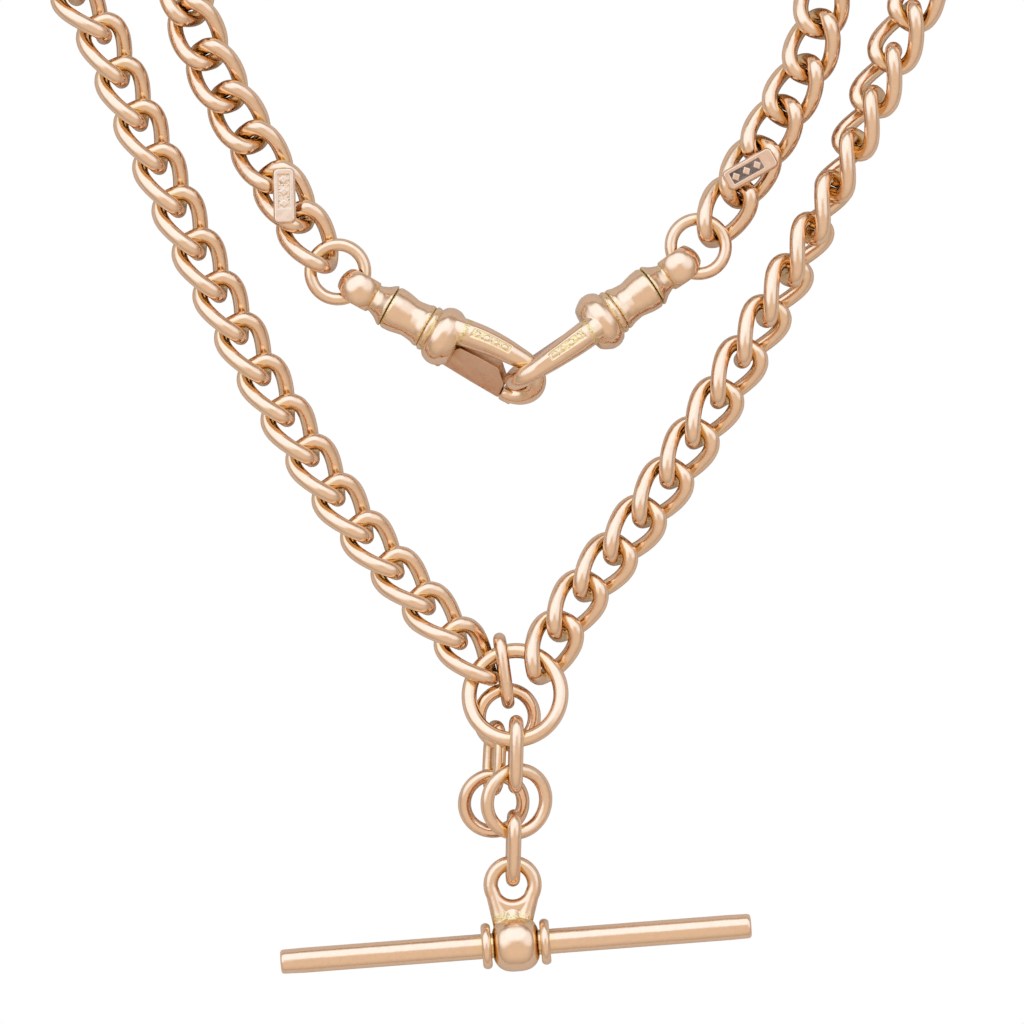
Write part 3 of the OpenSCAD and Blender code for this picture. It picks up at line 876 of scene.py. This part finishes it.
# ---------------------------------------------------------------- floor, light and camera
def floor():
    """Pale table that lights and reflects in the gold; the eye sees the white room through it,
    so a pose that hangs below the table, or a view from under it, isn't hidden."""
    size = 1.2
    corners = [(-size, -size, 0), (size, -size, 0), (size, size, 0), (-size, size, 0)]
    plane = mesh_object("floor", corners, [(0, 1, 2, 3)])
    material = bpy.data.materials.new("floor")
    tree, nodes, links, shader = node_set(material)
    shader.inputs["Base Color"].default_value = (0.72, 0.65, 0.58, 1)
    shader.inputs["Roughness"].default_value = 0.8
    shader.inputs["Specular IOR Level"].default_value = 0.1
    seen = nodes.new("ShaderNodeLightPath").outputs["Is Camera Ray"]
    clear = nodes.new("ShaderNodeBsdfTransparent")
    blend = nodes.new("ShaderNodeMixShader")
    links.new(seen, blend.inputs["Fac"])
    links.new(shader.outputs["BSDF"], blend.inputs[1])
    links.new(clear.outputs["BSDF"], blend.inputs[2])
    links.new(blend.outputs["Shader"], nodes["Material Output"].inputs["Surface"])
    plane.data.materials.append(material)


def soft_box(tree, way, direction, inner, outer, under, colour):
    """Blends a soft round light into the sky, centred on a direction."""
    towards = tree.nodes.new("ShaderNodeVectorMath")
    towards.operation = "DOT_PRODUCT"
    towards.inputs[1].default_value = unit(direction)
    tree.links.new(way, towards.inputs[0])
    edge = tree.nodes.new("ShaderNodeMapRange")
    edge.interpolation_type = "SMOOTHSTEP"
    edge.inputs["From Min"].default_value = math.cos(math.radians(outer))
    edge.inputs["From Max"].default_value = math.cos(math.radians(inner))
    tree.links.new(towards.outputs["Value"], edge.inputs["Value"])
    return mixed(tree, edge.outputs["Result"], under, colour)


def studio():
    """Warm room with three large cool soft boxes over the far half of the table; plain white to the eye."""
    world = bpy.data.worlds.new("studio")
    world.use_nodes = True
    tree = world.node_tree
    way = tree.nodes.new("ShaderNodeTexCoord").outputs["Generated"]
    sky = soft_box(tree, way, (0, -0.2, 1), 20, 92, (0.44, 0.39, 0.34), (0.80, 0.72, 0.64))
    sky = soft_box(tree, way, (0.62, 0.42, 0.66), 12, 40, sky, (1.02, 1.16, 1.36))
    sky = soft_box(tree, way, (-0.62, 0.42, 0.66), 14, 44, sky, (1.14, 1.34, 1.62))
    sky = soft_box(tree, way, (-0.05, 0.74, 0.67), 20, 38, sky, (1.16, 1.38, 1.70))
    seen = tree.nodes.new("ShaderNodeLightPath").outputs["Is Camera Ray"]
    sky = mixed(tree, seen, sky, (1.0, 1.0, 1.0))
    background = tree.nodes["Background"]
    tree.links.new(sky, background.inputs["Color"])
    background.inputs["Strength"].default_value = 1.0
    bpy.context.scene.world = world


def camera():
    """Straight above, square to the surface, with a long lens."""
    low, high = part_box("central_ring")
    aim = (low + high) / 2 + Vector((-0.27 * MM, 16.27 * MM, 0))
    width, distance, sensor = 91.55 * MM, 0.6, 36.0
    data = bpy.data.cameras.new("camera")
    data.sensor_width = sensor
    data.lens = sensor * distance / width
    data.clip_start, data.clip_end = 0.01, 10
    made = bpy.data.objects.new("camera", data)
    bpy.context.scene.collection.objects.link(made)
    made.location = (aim.x, aim.y, distance)
    made.rotation_euler = (0, 0, 0)
    bpy.context.scene.camera = made


floor()
studio()
camera()
bpy.context.scene.view_settings.view_transform = "Standard"
